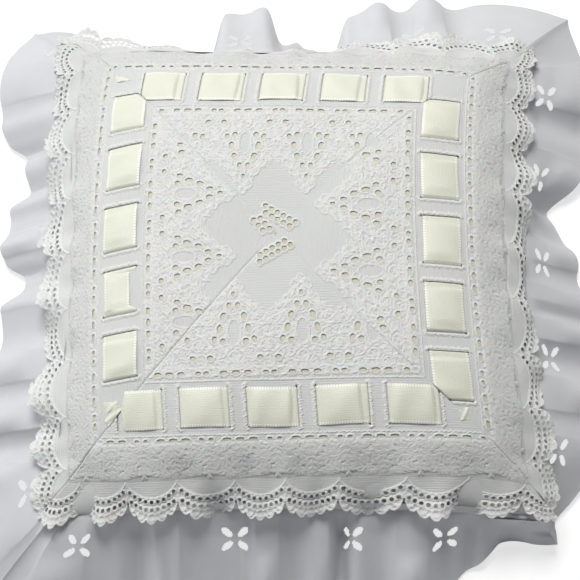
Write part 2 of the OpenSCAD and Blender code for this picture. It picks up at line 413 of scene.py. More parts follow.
def fill_crown(tile, rng):
    """Short stitches on the face whose lean swirls slowly, clear of the V's mouth and its plain leaf."""
    _, leaf_w, leaf_x, leaf_long, _ = PLAIN_LEAF
    for _ in range(1100):
        x, w = rng.uniform(-REPEAT / 2, REPEAT / 2), rng.uniform(17, 57)
        in_leaf = np.hypot(x / (leaf_x + 0.1), (w - leaf_w) / (leaf_long + 0.1)) < 1.05
        if w < 19 + 12 * abs(x) / 13.5 or in_leaf:
            continue
        turn = 1.6 * np.sin(2 * np.pi * x / REPEAT) + 0.4 * w + rng.uniform(-0.6, 0.6)
        tile.petal(x, w, rng.uniform(1.4, 2.4), rng.uniform(0.5, 0.7), turn, rng.uniform(0.12, 0.3))


def fill_border(tile, rng):
    """The border's filling flows along the side in slow swirls and thins out towards its end."""
    for _ in range(1500):
        x, w = rng.uniform(-REPEAT / 2, REPEAT / 2), rng.uniform(83.6, 100.2)
        if w > 98.8 + 1.4 * np.cos(2 * np.pi * x / REPEAT):
            continue
        phase = 2 * np.pi * x / REPEAT
        flow = 0.9 * np.sin(phase + 0.35 * (w - 84)) + 0.5 * np.sin(2 * phase - 0.5 * w)
        turn = flow + rng.uniform(-0.7, 0.7)
        length, width = rng.uniform(1.3, 2.4), rng.uniform(0.5, 0.85)
        thinning = np.clip((101.5 - w) / 4, 0.25, 1)
        tile.petal(x, w, length, width, turn, rng.uniform(0.14, 0.55) * thinning)


def border_sprays(tile):
    """Sprays of leaves on a stem, across the border."""
    for x0 in (0, REPEAT / 2):
        tile.cord(np.full(8, x0), np.linspace(84, 97.5, 8), 0.7, 0.55)
        for k in range(5):
            for side in (1, -1):
                a = np.pi / 2 + side * (0.95 - 0.08 * k)
                w0 = 85.5 + 2.5 * k
                tile.petal(x0 + 1.7 * np.cos(a), w0 + 1.5 * np.sin(a), 2.8, 0.95, a, 0.62)


def border_scrolls(tile):
    """Leafy scrolls that climb through the border to both sides."""
    s = np.linspace(0, 1, 9)
    for side in (1, -1):
        x, w = side * (1.0 + 12.5 * s), 84.5 + 12.5 * s ** 0.8 + 1.2 * np.sin(2 * np.pi * s)
        tile.cord(x, w, 0.7, 0.5)
        for k in range(1, 9):
            for lean in (0.9, -0.9):
                a = np.arctan2(w[k] - w[k - 1], x[k] - x[k - 1]) + lean
                tile.petal(x[k] + 1.5 * np.cos(a), w[k] + 1.5 * np.sin(a), 2.6, 1.0, a, 0.6)


def v_motif(tile):
    """The V's plain leaf, and the loops and leaves along its arms."""
    tile.ring(*PLAIN_LEAF, 0.5, 0.34)
    for x, w, rx, rw, turn in both_ways(LOOPS):
        tile.ring(x, w, rx, rw, turn, 0.45, 0.36)
        tile.spokes(x, w, rx, rw, turn, 5, 0.26)
    for x, w, length, width, turn in both_ways(LEAVES):
        tile.petal(x, w, length, width, turn, 0.42)


def long_lines(tile):
    """Cords along the side, and the stitched lines on both edges of the ribbon's band."""
    x = np.linspace(-REPEAT / 2, REPEAT / 2, 37)
    tile.cord(x, 84.8 + 0.8 * np.cos(4 * np.pi * x / REPEAT), 0.6, 0.32)
    tile.cord(x, 53.6 - 0.7 * np.cos(4 * np.pi * x / REPEAT), 0.6, 0.26)
    x = np.linspace(-REPEAT / 2, REPEAT / 2, 30)
    for k, w in enumerate(BAND_EDGES):
        for i in range(len(x) - 1):
            tile.petal(x[i], w + 0.12 * (-1) ** (i + k), 1.25, 0.55, 0.35 * (-1) ** i, 0.36)


def draw_pattern():
    """The repeat from the middle of the face to the end of the dense border, and its eyelets."""
    tile = Tile(REPEAT, 0, 101)
    rng = np.random.default_rng(11)
    fill_crown(tile, rng)
    fill_border(tile, rng)
    border_sprays(tile)
    v_motif(tile)
    border_scrolls(tile)
    long_lines(tile)
    holes = eyelets()
    for x, w, rx, rw, turn in holes + blind_rings():
        tile.ring(x, w, rx, rw, turn, HOLE_RIM, 0.34)
    return tile, holes


def draw_edge():
    """One lobe of the free edge, two rows of eyelets between cords and five fans, and its eyelets."""
    tile = Tile(LOBE, 98, 124)
    x = np.linspace(0, LOBE, 60)
    tile.cord(x, scallop_w(x) - 1.6, 0.6, 0.34)
    tile.cord(x, scallop_w(x) + 5.0, 0.6, 0.36)
    tile.cord(x, edge_w(x) - 0.4, 0.7, 0.45)
    for k in range(5):
        x0 = (k + 0.5) * LOBE / 5
        w0 = scallop_w(x0) + 6.0
        tile.ring(x0, w0, 1.2, 1.4, 0, 0.5, 0.45)
        for lean in (-0.6, 0, 0.6):
            a = np.pi / 2 + lean
            tile.petal(x0 + 1.6 * np.cos(a), w0 + 1.6 * np.sin(a), 1.8, 0.6, a, 0.4)
    holes = scallop_eyelets(0.0, 9) + scallop_eyelets(3.2, 9)
    for x0, w, rx, rw, turn in holes:
        tile.ring(x0, w, rx, rw, turn, 0.6, 0.45)
    return tile, holes


# ---- Laying the edging over the pillow ----


def window_t(side, k):
    return k * SIDES[side]["repeat"] + SIDES[side]["phase"]


def half_window(side):
    return (SIDES[side]["repeat"] - WINDOW_LESS) / 2 + 0.3


def pattern_x(side, t):
    """Place in the drawn repeat, from a V's axis half-way between two windows."""
    return (t - SIDES[side]["phase"]) / SIDES[side]["repeat"] * REPEAT - REPEAT / 2


def edge_x(side, t):
    """Place in the drawn lobe."""
    cusps = SIDES[side]["cusps"]
    return np.interp(t, cusps, np.arange(len(cusps))) * LOBE


def free_share(side, t):
    """How much the free border stands out: 1 spread, 0 lying down against the pillow's side."""
    at, share = zip(*SIDES[side]["spread"])
    return np.interp(t, at, share)


def free_wave(side, t, w):
    """Ripples of the free border, in millimetres at its edge; none at the mitres."""
    shift = {"far": 0.3, "near": 1.7, "left": 2.9, "right": 4.4}[side]
    ripple = (
        2.8 * np.sin(2 * np.pi * t / 56 + shift)
        + 2.0 * np.sin(2 * np.pi * t / 34 + 2.1 * shift)
        + 1.9 * np.sin(2 * np.pi * t / 21 + 0.7 * shift)
    )
    return ripple * (1 - smooth((np.abs(t) / np.maximum(w, 1) - 0.75) / 0.25))


def skewed(x, y):
    """Where a place on the squared-up face comes on the askew one."""
    shift_x = sum(mx * (x / 100) ** i * (y / 100) ** j for (i, j), (mx, _) in SKEW.items())
    shift_y = sum(my * (x / 100) ** i * (y / 100) ** j for (i, j), (_, my) in SKEW.items())
    return x + shift_x, y + shift_y


def lay(side, t, w, lift):
    """Lays flat points of a side's edging over the pillow and out over its free border."""
    turn = SIDES[side]["turn"]
    held = np.minimum(w, LEAVE_W)
    lean = t / np.maximum(w, 1e-6)
    x, y = skewed(*turn(lean * held, held))
    spread = on_face(x, y, lift)
    out = np.maximum(w - LEAVE_W, 0)
    reach = out * np.cos(DROOP)
    ripple = free_wave(side, t, w) * (out / 20) ** 1.4
    ox, oy = turn((reach + 0.4 * ripple) * lean, reach + 0.4 * ripple)
    free = spread + np.stack([ox, oy, ripple - out * np.sin(DROOP)], -1)
    near_w = np.minimum(w, CLING_W)
    cx, cy = skewed(*turn(lean * near_w, near_w))
    hang = np.maximum(w - CLING_W, 0)
    hx, hy = turn(0.15 * hang * lean, 0.15 * hang)
    cling = on_face(cx, cy, np.asarray(lift) + 0.6) + np.stack([hx, hy, -hang], -1)
    f = free_share(side, t)[:, None]
    return np.where(out[:, None] > 0, free * f + cling * (1 - f), spread)


def slot_oval(side, k, end):
    """The buttonhole at one end of a window, as a long thin oval."""
    t = window_t(side, k) + end * half_window(side)
    return t, BAND_MID, SLOT_HALF, RIBBON_W / 2 + 0.5, SIDES[side]["slant"]


def slot_ovals(side):
    return [slot_oval(side, k, end) for k in WINDOWS for end in (-1, 1)]


# The cluster in the middle of the face is three strips, each of two staggered rows of eyelets: the first
# eyelet's flat x and y, the direction in degrees, each row's count, and which hand the second row is on
MIDDLE = [(-4.2, 11.4, -29, (6, 5), -1), (-9.2, 5.6, -47, (3, 3), 1), (-6.6, -11.4, 27, (6, 5), 1)]
MIDDLE_PITCH, MIDDLE_RADIUS = 2.9, 1.15


def middle_for(side):
    """The cluster's eyelets that fall in a side's quarter, in its flat t and w."""
    found = []
    for x0, y0, degrees, counts, hand in MIDDLE:
        angle = np.radians(degrees)
        along, across = (np.cos(angle), np.sin(angle)), (-np.sin(angle), np.cos(angle))
        for row, count in enumerate(counts):
            for k in range(count):
                far, over = (k + row / 2) * MIDDLE_PITCH, row * hand * 0.866 * MIDDLE_PITCH
                x, y = x0 + far * along[0] + over * across[0], y0 + far * along[1] + over * across[1]
                t, w = {"far": (x, y), "near": (x, -y), "left": (y, -x), "right": (y, x)}[side]
                if w > abs(t) - 1.6:
                    found.append((t, w, MIDDLE_RADIUS, MIDDLE_RADIUS, 0.0))
    return found


def side_holes(side, pattern_holes, edge_holes):
    """The drawn eyelets repeated along a side, in its flat t and w."""
    s, cut = SIDES[side], []
    stretch = s["repeat"] / REPEAT
    for k in np.arange(-4.5, 5.5):
        for x, w, a, b, turn in pattern_holes:
            cut.append((window_t(side, k) + x * stretch, w, a * stretch, b, turn))
    cusps = s["cusps"]
    for k in range(len(cusps) - 1):
        for x, w, a, b, turn in edge_holes:
            t = cusps[k] + x / LOBE * (cusps[k + 1] - cusps[k])
            cut.append((t, w, a * (cusps[k + 1] - cusps[k]) / LOBE, b, turn))
    return [h for h in cut if abs(h[0]) + max(h[2], h[3]) + 0.6 < h[1]]


def face_up(points, faces):
    """Turns the faces over if, on the whole, they look down."""
    e1, e2 = points[faces[:, 1]] - points[faces[:, 0]], points[faces[:, 2]] - points[faces[:, 0]]
    return faces[:, ::-1] if np.cross(e1, e2)[:, 2].mean() < 0 else faces


def cut_grid(side, cut):
    """A side's flat points and faces: its holes cut, and trimmed to its mitres and its free edge."""
    reach = round(EDGE_REACH / GRID)
    t, w = np.meshgrid(np.arange(-reach, reach + 1) * GRID, np.arange(1, reach) * GRID)
    inside = snap_holes(t, w, cut, 0.6 * GRID)
    lead = w - np.abs(t)
    on_mitre = (lead > -1.1 * GRID) & (lead < 0.3 * GRID)
    mean = (w + np.abs(t)) / 2
    t, w = np.where(on_mitre, np.sign(t) * mean, t), np.where(on_mitre, mean, w)
    rim = edge_w(edge_x(side, t))
    on_edge = np.abs(rim - w) < 0.6 * GRID
    w = np.where(on_edge, rim, w)
    gone = inside | ((lead < 0) & ~on_mitre) | ((w > rim) & ~on_edge)
    faces = grid_faces(*lead.shape)
    t, w, gone = t.ravel(), w.ravel(), gone.ravel()
    ft, fw = t[faces].mean(1), w[faces].mean(1)
    keep = ~gone[faces].any(1) & (fw > np.abs(ft)) & (fw < edge_w(edge_x(side, ft)))
    for hole in cut:
        near = np.flatnonzero((np.abs(fw - hole[1]) < 1 + hole[3]) & (np.abs(ft - hole[0]) < 1 + hole[3]))
        keep[near] &= hole_depth(ft[near], fw[near], hole) > -0.04
    return compact(np.stack([t, w], -1), faces[keep])


def bead(x):
    """Cross-section of a round thread, 1 at x = 0 and 0 from x = 1 outwards."""
    return np.sqrt(np.maximum(0, 1 - x ** 2))


def stitching(side, t, w, tile, edge_tile):
    """Height of the raised work: the drawn pattern, the buttonholes and the rims in the middle."""
    relief = np.maximum(tile.sample(pattern_x(side, t), w), edge_tile.sample(edge_x(side, t), w))
    for k in WINDOWS:
        middle = window_t(side, k) - SIDES[side]["slant"] * (w - BAND_MID)
        outside = np.abs(t - middle) > half_window(side) - 0.2
        for end in (-1, 1):
            wander = 0.75 + 0.3 * np.sin(2 * np.pi * w / 2.3 + 3 * k + end) * np.sin(w / 1.7 + 2 * k)
            depth = hole_depth(t, w, slot_oval(side, k, end)) - wander
            twist = (0.4 + 0.28 * np.sin(2 * np.pi * w / 1.15 + 2.5 * t)) * outside
            relief = np.maximum(relief, twist * bead(depth / 0.7))
    for hole in middle_for(side):
        relief = np.maximum(relief, 0.32 * bead((hole_depth(t, w, hole) - 0.3) / 0.5))
    from_mitre = (w - np.abs(t)) / np.sqrt(2)
    return relief * np.where(w > 17, smooth((from_mitre + 0.15) / 0.6), 1)


def sinking(side, t, w):
    """How far the cloth lies below the face: creases along the mitres, and puckers of the border."""
    from_mitre = (w - np.abs(t)) / np.sqrt(2)
    deep = (side in ("near", "left")) & (t < 0)
    crease = np.where(deep, 0.42, 0.06) * np.exp(-((from_mitre / 0.3) ** 2)) * smooth((w - 3) / 5)
    fine = 1 + np.sin(2 * np.pi * t / 13 + 2 * np.sin(t / 17) + 0.05 * w)
    broad = 1 + np.sin(2 * np.pi * t / 31 + 1.5 * np.sin(t / 23) - 0.07 * w)
    return crease + (0.25 * fine + 0.7 * broad) * smooth((w - 85) / 13)


FULL_WORK = 0.28  # stitching this high is all thread


def lace_side(side, pattern, edge, material):
    """One side's edging, with its eyelets and buttonholes cut and its stitching raised."""
    (tile, tile_holes), (edge_tile, edge_holes) = pattern, edge
    cut = side_holes(side, tile_holes, edge_holes) + slot_ovals(side) + middle_for(side)
    flat, faces = cut_grid(side, cut)
    t, w = flat[:, 0], flat[:, 1]
    relief = stitching(side, t, w, tile, edge_tile)
    points = lay(side, t, w, relief - sinking(side, t, w))
    work = np.clip(relief / FULL_WORK, 0, 1)
    piece = mesh_object("lace_" + side + "_cloth", points, face_up(points, faces), flat, work, material)
    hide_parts("lace_" + side)
    return piece


# ---- Ribbon ----


def satin_scrap(side, corners, lift):
    """A small tucked-in end of ribbon, through four flat (t, w) corners."""
    p, q, r, s = [np.array(c, float) for c in corners]
    u, v = np.meshgrid(np.linspace(0, 1, 9), np.linspace(0, 1, 9))
    flat = (p * (1 - u[..., None]) + q * u[..., None]) * (1 - v[..., None])
    flat = (flat + (s * (1 - u[..., None]) + r * u[..., None]) * v[..., None]).reshape(-1, 2)
    bulge = lift + (0.35 * np.sin(np.pi * u) * np.sin(np.pi * v) + 0.2 * np.sin(7 * u + 6 * v)).ravel()
    return lay(side, flat[:, 0], flat[:, 1], bulge), grid_faces(9, 9), flat


# The turned-in ribbon ends at the corners: four flat (t, w) corners, and height above the edging
SCRAPS = {
    "far": [([(-79.0, 76.3), (-75.0, 75.8), (-70.3, 73.8), (-77.2, 72.4)], 0.3)],
    "left": [([(-65.6, 77.6), (-65.2, 71.0), (-67.6, 69.4), (-70.0, 77.0)], 0.1),
             ([(-67.0, 71.6), (-68.4, 68.6), (-75.6, 75.6), (-73.0, 77.4)], 0.35)],
    "near": [([(-69.4, 67.4), (-67.0, 67.4), (-66.6, 76.6), (-68.2, 76.6)], 0.3)],
    "right": [([(-71.1, 71.0), (-69.6, 74.8), (-74.9, 74.2), (-75.5, 71.1)], 0.25)],
}
RIBBON_END, RIBBON_STEP = 72.0, 0.28  # the ribbon is made this far out before it is cut along the mitres
NEAR_CUT = -67.4  # where the near ribbon stops short of its mitre
FOLDED = ("left", -1)  # the window in which the ribbon is folded along its length
PICOT_PITCH = 1.12


def ribbon_lift(side, s, c, slide):
    """Height above the edging of the ribbon's points, s along it and c across it from -1 to 1."""
    gap = np.min([np.abs(slide - window_t(side, k)) for k in WINDOWS], 0)
    away = half_window(side) - gap
    rise = smooth((away + 0.9) / 2.0)
    # the ribbon bows up in its window, and at one end it turns down over a crease
    k = np.round((slide - SIDES[side]["phase"]) / SIDES[side]["repeat"])
    lean = (slide - window_t(side, k)) / half_window(side)
    crown = 0.75 * (1 - np.abs(c) ** 2.5) * smooth(away / 5) * (1 - 0.3 * lean)
    turned_down = (lean > 0) * (1 - smooth((away - 1.3 - 0.5 * np.sin(2.1 * k + c)) / 2.4))
    crown = crown + 0.35 - 0.85 * turned_down
    crease = 0.14 * np.sin(0.45 * s + 2.2 * c + 3 * k) * smooth(away / 3)
    shown = smooth((away + 0.3) / 0.9)
    lift = -0.7 + 1.0 * rise + (crown + crease) * shown
    return np.where(away > 0, np.maximum(lift, 0.05 + 0.2 * shown), lift)


def ribbon_side(side, material):
    """Satin ribbon: over the edging in each window, under it between two, cut along the mitres."""
    along = np.arange(-RIBBON_END, RIBBON_END + 0.01, RIBBON_STEP)
    across = np.sin(np.linspace(-1, 1, 21) * np.pi / 2)
    s, c = np.meshgrid(along, across, indexing="ij")
    slide = s + SIDES[side]["slant"] * c * RIBBON_W / 2
    lift = ribbon_lift(side, s, c, slide)
    half = RIBBON_W / 2 + 0.28 * np.sin(2 * np.pi * s / PICOT_PITCH) * (np.abs(c) > 0.99)
    centre = BAND_MID + 0.35 * np.sin(s / 11.0 + 1.3)
    if side == FOLDED[0]:
        fold = smooth((8.2 - np.abs(slide - window_t(*FOLDED))) / 1.6)
        half, centre = half - 2.2 * fold, centre + 1.2 * fold
        lift = lift + fold * (0.7 * smooth((c - 0.3) / 0.08) - 0.3 * smooth((0.2 - c) / 0.4))
    w = centre + c * half
    inside = w - 0.5
    held = np.clip(s, NEAR_CUT + 0.4 * np.sin(5 * c) if side == "near" else -inside, inside)
    points = lay(side, held.ravel(), w.ravel(), lift.ravel())
    faces = grid_faces(*s.shape)
    faces = faces[np.ptp(held.ravel()[faces], axis=1) > 0.05]
    flat, value = np.stack([s.ravel(), (c * RIBBON_W / 2).ravel()], -1), np.abs(c).ravel()
    for corners, height in SCRAPS[side]:
        more, more_faces, more_flat = satin_scrap(side, corners, height)
        faces = np.concatenate([faces, more_faces + len(points)])
        points, flat = np.concatenate([points, more]), np.concatenate([flat, more_flat])
        value = np.concatenate([value, 0 * more_flat[:, 0]])
    points, faces, flat, value = compact(points, faces, flat, value)
    piece = mesh_object("ribbon_" + side + "_satin", points, face_up(points, faces), flat, value, material)
    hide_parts("ribbon_" + side)
    return piece


# ---- Pillow body and back ----


# Where the lining is stained darker: flat x and y, radius, and how much
STAINS = [
    (-1, 1, 10, 0.35), (-5.5, -9.5, 2.5, 0.8), (-1, -9, 2.5, 0.4), (81.5, -67.5, 2.2, 1),
    (81, -73, 2.2, 1), (80.5, -78, 2, 0.7), (-46, -57, 2.2, 1), (-42, -57, 2.2, 0.7),
]


SHELL_N = 221
LINING_INSET = 1.6  # how far the body keeps inside the back panel
LINING_UNDER, BAND_UNDER, BORDER_UNDER = 0.32, 1.0, 2.0  # below the edging, and more in two places


def shell_grid():
    """Flat x and y over the whole pillow, closer together towards the seams."""
    s = np.sin(np.linspace(-1, 1, SHELL_N) * np.pi / 2 * 0.9) / np.sin(np.pi / 2 * 0.9) * FLAT_HALF
    return np.meshgrid(s, s)


def closed_faces(n):
    """Faces of an n by n grid, of a second one under it, and of the rim between them."""
    faces = grid_faces(n, n)
    rim = np.concatenate([np.arange(n), np.arange(1, n) * n + n - 1,
                          n * n - 2 - np.arange(n - 1), (n - 2 - np.arange(n - 2)) * n])
    ring = np.stack([np.roll(rim, -1), rim, rim + n * n, np.roll(rim, -1) + n * n], -1)
    return np.concatenate([faces, faces[:, ::-1] + n * n, ring])


def stained(x, y):
    """How dark the lining is at places on the askew face."""
    tan = 0 * x
    for at_x, at_y, radius, much in STAINS:
        at_x, at_y = skewed(at_x, at_y)
        tan += much * np.exp(-(((x - at_x) ** 2 + (y - at_y) ** 2) / radius ** 2))
    return np.clip(tan, 0, 1)


def pillow_body(material):
    """The lined, stuffed body that shows through the eyelets, closed under the back panel."""
    x, y = [values.ravel() for values in shell_grid()]
    shift_x, shift_y = skewed(x, y)
    w = np.maximum(np.abs(2 * x - shift_x), np.abs(2 * y - shift_y))
    band = smooth((w - 58.5) / 1.5) * smooth((80.5 - w) / 1.5)
    border = smooth((w - 85) / 12)
    top = on_face(x, y, -LINING_UNDER - BAND_UNDER * band - BORDER_UNDER * border)
    shrink = 1 - LINING_INSET / (PILLOW_W / 2)
    low = belly_base(x, y) * [shrink, shrink, 1] + [0, 0, 0.9]
    top[:, 2] = np.maximum(top[:, 2], SEAM_H + 0.3)
    low[:, 2] = np.minimum(low[:, 2], SEAM_H - 0.3)
    points = np.concatenate([top, low])
    flat = np.concatenate([np.stack([x, y], -1)] * 2)
    tan = stained(shift_x, shift_y)
    stain = np.concatenate([tan, 0 * tan])
    white = np.concatenate([smooth((w - 93) / 4), 0 * tan + 1])
    piece = mesh_object("face_lining_cloth", points, closed_faces(SHELL_N), flat, stain, material)
    layer = piece.data.attributes.new("white", "FLOAT", "POINT")
    layer.data.foreach_set("value", white.astype(np.float32))
    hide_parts("face_lining", "fibre_fill", "casing_top", "casing_bottom")
    return piece


def back_cloth(material):
    """The plain back panel that the pillow rests on."""
    x, y = shell_grid()
    points = belly_base(x.ravel(), y.ravel())
    points[:, 2] += 0.1
    faces = grid_faces(*x.shape)[:, ::-1]
    flat = np.stack([x.ravel(), y.ravel()], -1)
    piece = mesh_object("back_panel_cloth", points, faces, flat, None, material)
    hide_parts("back_panel")
    return piece


# ---- Gathered ruffle ----

# How far the ruffle spreads, round the seam from the near right corner: (millimetres, share of full reach)
SPREAD = [
    (0, 0.12), (8, 0.2), (25, 0.8), (40, 1.0), (95, 0.9), (130, 0.55), (141, 0.3), (150, 0.6), (165, 0.9),
    (206, 1.0), (285, 1.0), (292, 0.9), (297, 0.15), (311, 0.15), (315, 0.45), (323, 0.45), (327, 0.95),
    (349, 0.95), (354, 0.1), (400, 0.1), (415, 0.7), (425, 0.95), (447, 1.0), (457, 0.9), (463, 0.5),
    (480, 0.5), (486, 0.9), (514, 0.9), (519, 0.5), (526, 0.5), (532, 0.9), (575, 0.95), (624, 1.0),
    (790, 1.0), (806, 0.6), (818, 0.12), (836, 0.12),
]

# Deep folds: place round the seam, width and depth
VALLEYS = [
    (752, 3.5, 2.0), (714, 5, 1.2), (669, 8, 1.6), (805, 4, 0.9), (680, 4, 0.8), (500, 4, 0.9),
    (90, 4, 0.8),
]

# Four-petal flowers, by their place round the seam
FLOWERS = [30, 71, 113, 152, 190, 226, 262, 301, 340, 380, 420, 462, 504, 530, 575, 615, 645, 708, 756, 795]
FLOWER_DOWN = 14.0  # how far below the seam

RUFFLE_COLUMNS, RUFFLE_ROWS = 2400, 84
RUFFLE_REACH = 34.0  # how far it spreads out from the seam
RUFFLE_DEEP = 44.0  # flat length from the seam to the hem; the model's is less where it spreads little
HEM_H = 4.5
BEHIND = 0.2  # the share of that length that goes on up behind the flange
FOLD_OUT, FOLD_UP = 2.2, 4.2


def seam_path(count):
    """Points along the pillow's seam from the near right corner and round by the far side: x, y, the
    direction out of the pillow, the distance along the seam and how near a corner is, from 0 to 1."""
    sides = [("right", 1), ("far", -1), ("left", -1), ("near", 1)]
    q = np.arange(count) / count * 4
    k, u = np.floor(q).astype(int), 2 * (q % 1) - 1
    bend = 0.6 * u + 0.4 * np.sin(np.pi / 2 * u)
    a = np.choose(k, [np.ones_like(u), -bend, -np.ones_like(u), bend])
    b = np.choose(k, [bend, np.ones_like(u), -bend, -np.ones_like(u)])
    x, y = pulled_in(a, b)
    angle = k * np.pi / 2 + np.pi / 4 * np.sign(u) * smooth((np.abs(u) - 0.7) / 0.3)
    run = np.concatenate([[0], np.cumsum(np.hypot(np.diff(x), np.diff(y)))])
    return x, y, angle, run, np.abs(u)


def ruffle_folds(run):
    """The gathers round the seam, at most about 1.2 up or down but for the deep ones."""
    turn = 2 * np.pi * (run / run[-1])
    fold = (
        0.6 * np.cos(27 * turn + 1.6 * np.sin(3 * turn))
        + 0.35 * np.cos(43 * turn + 1.1 * np.sin(5 * turn + 1))
        + 0.35 * np.cos(16 * turn + 0.5)
    )
    fold = np.sign(fold) * np.abs(fold) ** 0.8
    for at, wide, deep in VALLEYS:
        fold = fold - deep * np.exp(-(((run - at) / wide) ** 2))
    return fold


def ruffle_spread(run):
    """How far the ruffle spreads round the seam, eased between SPREAD's places."""
    spread = np.interp(run, *zip(*SPREAD))
    kernel = np.hanning(19)
    return np.convolve(np.concatenate([spread[-9:], spread, spread[:9]]), kernel / kernel.sum(), "valid")


def ruffle_points(below):
    """The ruffle's points, for each share of its depth below the seam, and the seam's own distances."""
    x, y, angle, run, corner = seam_path(RUFFLE_COLUMNS)
    spread, fold = ruffle_spread(run), ruffle_folds(run)
    v, up = np.maximum(below, 0), np.maximum(-below, 0) / BEHIND
    reach = RUFFLE_REACH * v * (0.15 + 0.85 * spread) + FOLD_OUT * fold * v ** 1.2 - 1.7 * up
    drop = SEAM_H - (SEAM_H - HEM_H) * (v ** 1.3 * spread + np.sin(np.pi / 2 * v) * (1 - spread))
    middle = 1 - smooth((corner - 0.5) / 0.35)
    tucked = middle * (1 - v) ** 2
    # under the flange the folds hardly rise
    rise = fold * np.where(fold > 0, 0.1 + 0.9 * smooth((v - 0.38) / 0.35), 1)
    z = drop + 6.0 * up * middle + 4.0 * tucked + FOLD_UP * rise * smooth(v / 0.3) * (1.1 - 0.4 * v)
    z = 1.0 + np.logaddexp(0, (z - 1.0) / 1.2) * 1.2  # it never goes through what it lies on
    reach = reach - 0.9 - 0.8 * tucked
    px, py = x + reach * np.cos(angle), y + reach * np.sin(angle)
    return np.stack([px, py, z], -1), run


def flower_petals(centre):
    """The four petals cut for a flower, as ovals in the cloth's own place."""
    angles = np.pi / 4 * np.array([1, 3, 5, 7])
    return [(centre + 4.7 * np.cos(a), FLOWER_DOWN + 4.7 * np.sin(a), 2.9, 1.5, a) for a in angles]


def ruffle(material):
    """The gathered ruffle under the flange, with its flowers cut out and their rims stitched."""
    rows, count = RUFFLE_ROWS, RUFFLE_COLUMNS
    below = np.linspace(-BEHIND, 1, rows)[:, None]
    points, run = ruffle_points(below)
    # the cloth's own length round, along its middle row
    middle = points[rows // 2]
    steps = np.linalg.norm(np.diff(middle, axis=0, append=middle[:1]), axis=1)
    cloth, total = np.concatenate([[0], np.cumsum(steps)[:-1]]), steps.sum()
    along = np.broadcast_to(cloth, (rows, count)).ravel()
    down = np.broadcast_to(below * RUFFLE_DEEP, (rows, count)).ravel()
    faces = grid_faces(rows, count, wrap=True)
    keep, rim = np.ones(len(faces), bool), np.zeros(rows * count)
    wrapped = np.ptp(along[faces], axis=1) > total / 2
    face_along, face_down = along[faces].mean(1), down[faces].mean(1)
    for place in FLOWERS:
        for petal in flower_petals(np.interp(place, run, cloth)):
            keep &= wrapped | (hole_depth(face_along, face_down, petal) > 0)
            rim = np.maximum(rim, np.exp(-(((hole_depth(along, down, petal) - 0.45) / 0.4) ** 2)))
    points, faces, flat, rim = compact(points.reshape(-1, 3), faces[keep], np.stack([along, down], -1), rim)
    points[:, 2] += 0.15 * rim
    piece = mesh_object("ruffle_cloth", points, face_up(points, faces), flat, rim, material)
    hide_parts("gathered_ruffle")
    return piece


# ---- Materials ----


class Nodes:
    """A short way to write a material's nodes."""

    def __init__(self, name):
        self.material = bpy.data.materials.new(name)
        self.material.use_nodes = True
        self.tree = self.material.node_tree
        self.shader = self.tree.nodes["Principled BSDF"]

    def set(self, node, socket, value):
        """Gives a node's input a value, or the output of another node."""
        socket = node.inputs[socket]
        if isinstance(value, bpy.types.NodeSocket):
            self.tree.links.new(value, socket)
        else:
            socket.default_value = value

    def math(self, operation, a, b=0.0):
        node = self.tree.nodes.new("ShaderNodeMath")
        node.operation = operation
        self.set(node, 0, a)
        self.set(node, 1, b)
        return node.outputs[0]

    def mix(self, factor, a, b):
        node = self.tree.nodes.new("ShaderNodeMix")
        node.data_type = "RGBA"
        self.set(node, 0, factor)
        self.set(node, 6, a)
        self.set(node, 7, b)
        return node.outputs[2]

    def flat_mm(self):
        """The cloth's own flat position, in millimetres."""
        uv = self.tree.nodes.new("ShaderNodeUVMap")
        uv.uv_map = "flat"
        node = self.tree.nodes.new("ShaderNodeVectorMath")
        node.operation = "SCALE"
        self.tree.links.new(uv.outputs[0], node.inputs[0])
        node.inputs["Scale"].default_value = 1000.0
        return node.outputs[0]

    def bump(self, height, distance, strength):
        node = self.tree.nodes.new("ShaderNodeBump")
        self.set(node, "Height", height)
        node.inputs["Distance"].default_value = distance
        node.inputs["Strength"].default_value = strength
        return node.outputs[0]

    def attribute(self, name):
        node = self.tree.nodes.new("ShaderNodeAttribute")
        node.attribute_name = name
        return node.outputs["Fac"]

    def finish(self, **values):
        for key, value in values.items():
            self.set(self.shader, key.replace("_", " "), value)
        return self.material


WAVE_UNIT = 0.314  # a wave texture's pitch at scale 1
RIB_PITCH = 1.05  # of the edging's plain cotton
SATIN_PITCH = 0.95

# Colours, as linear red, green and blue
EDGING_DARK, EDGING_LIGHT = (0.665, 0.675, 0.665, 1), (0.715, 0.72, 0.71, 1)
EDGING_STITCH = (0.80, 0.80, 0.78, 1)
# Painted shade: the dense border's ground and stitches are darker, to stand for the shade between its
# stitches
PAINTED_SHADE_BORDER_GROUND, PAINTED_SHADE_BORDER_STITCH = (0.50, 0.51, 0.51, 1), (0.685, 0.69, 0.675, 1)
LINING_DARK, LINING_LIGHT = (0.64, 0.635, 0.54, 1), (0.70, 0.695, 0.60, 1)
LINING_STAIN, LINING_WHITE = (0.42, 0.37, 0.20, 1), (0.66, 0.66, 0.66, 1)
BACK_DARK, BACK_LIGHT = (0.69, 0.69, 0.67, 1), (0.74, 0.74, 0.725, 1)
RUFFLE_DARK, RUFFLE_LIGHT = (0.59, 0.595, 0.62, 1), (0.67, 0.675, 0.70, 1)
SATIN_DARK, SATIN_LIGHT = (0.67, 0.68, 0.575, 1), (0.725, 0.735, 0.655, 1)
SATIN_GRAIN, SATIN_PICOT = (0.56, 0.57, 0.43, 1), (0.88, 0.88, 0.83, 1)


def noise(n, vector, scale, detail):
    node = n.tree.nodes.new("ShaderNodeTexNoise")
    n.set(node, "Vector", vector)
    node.inputs["Scale"].default_value = scale
    node.inputs["Detail"].default_value = detail
    return node.outputs["Fac"]


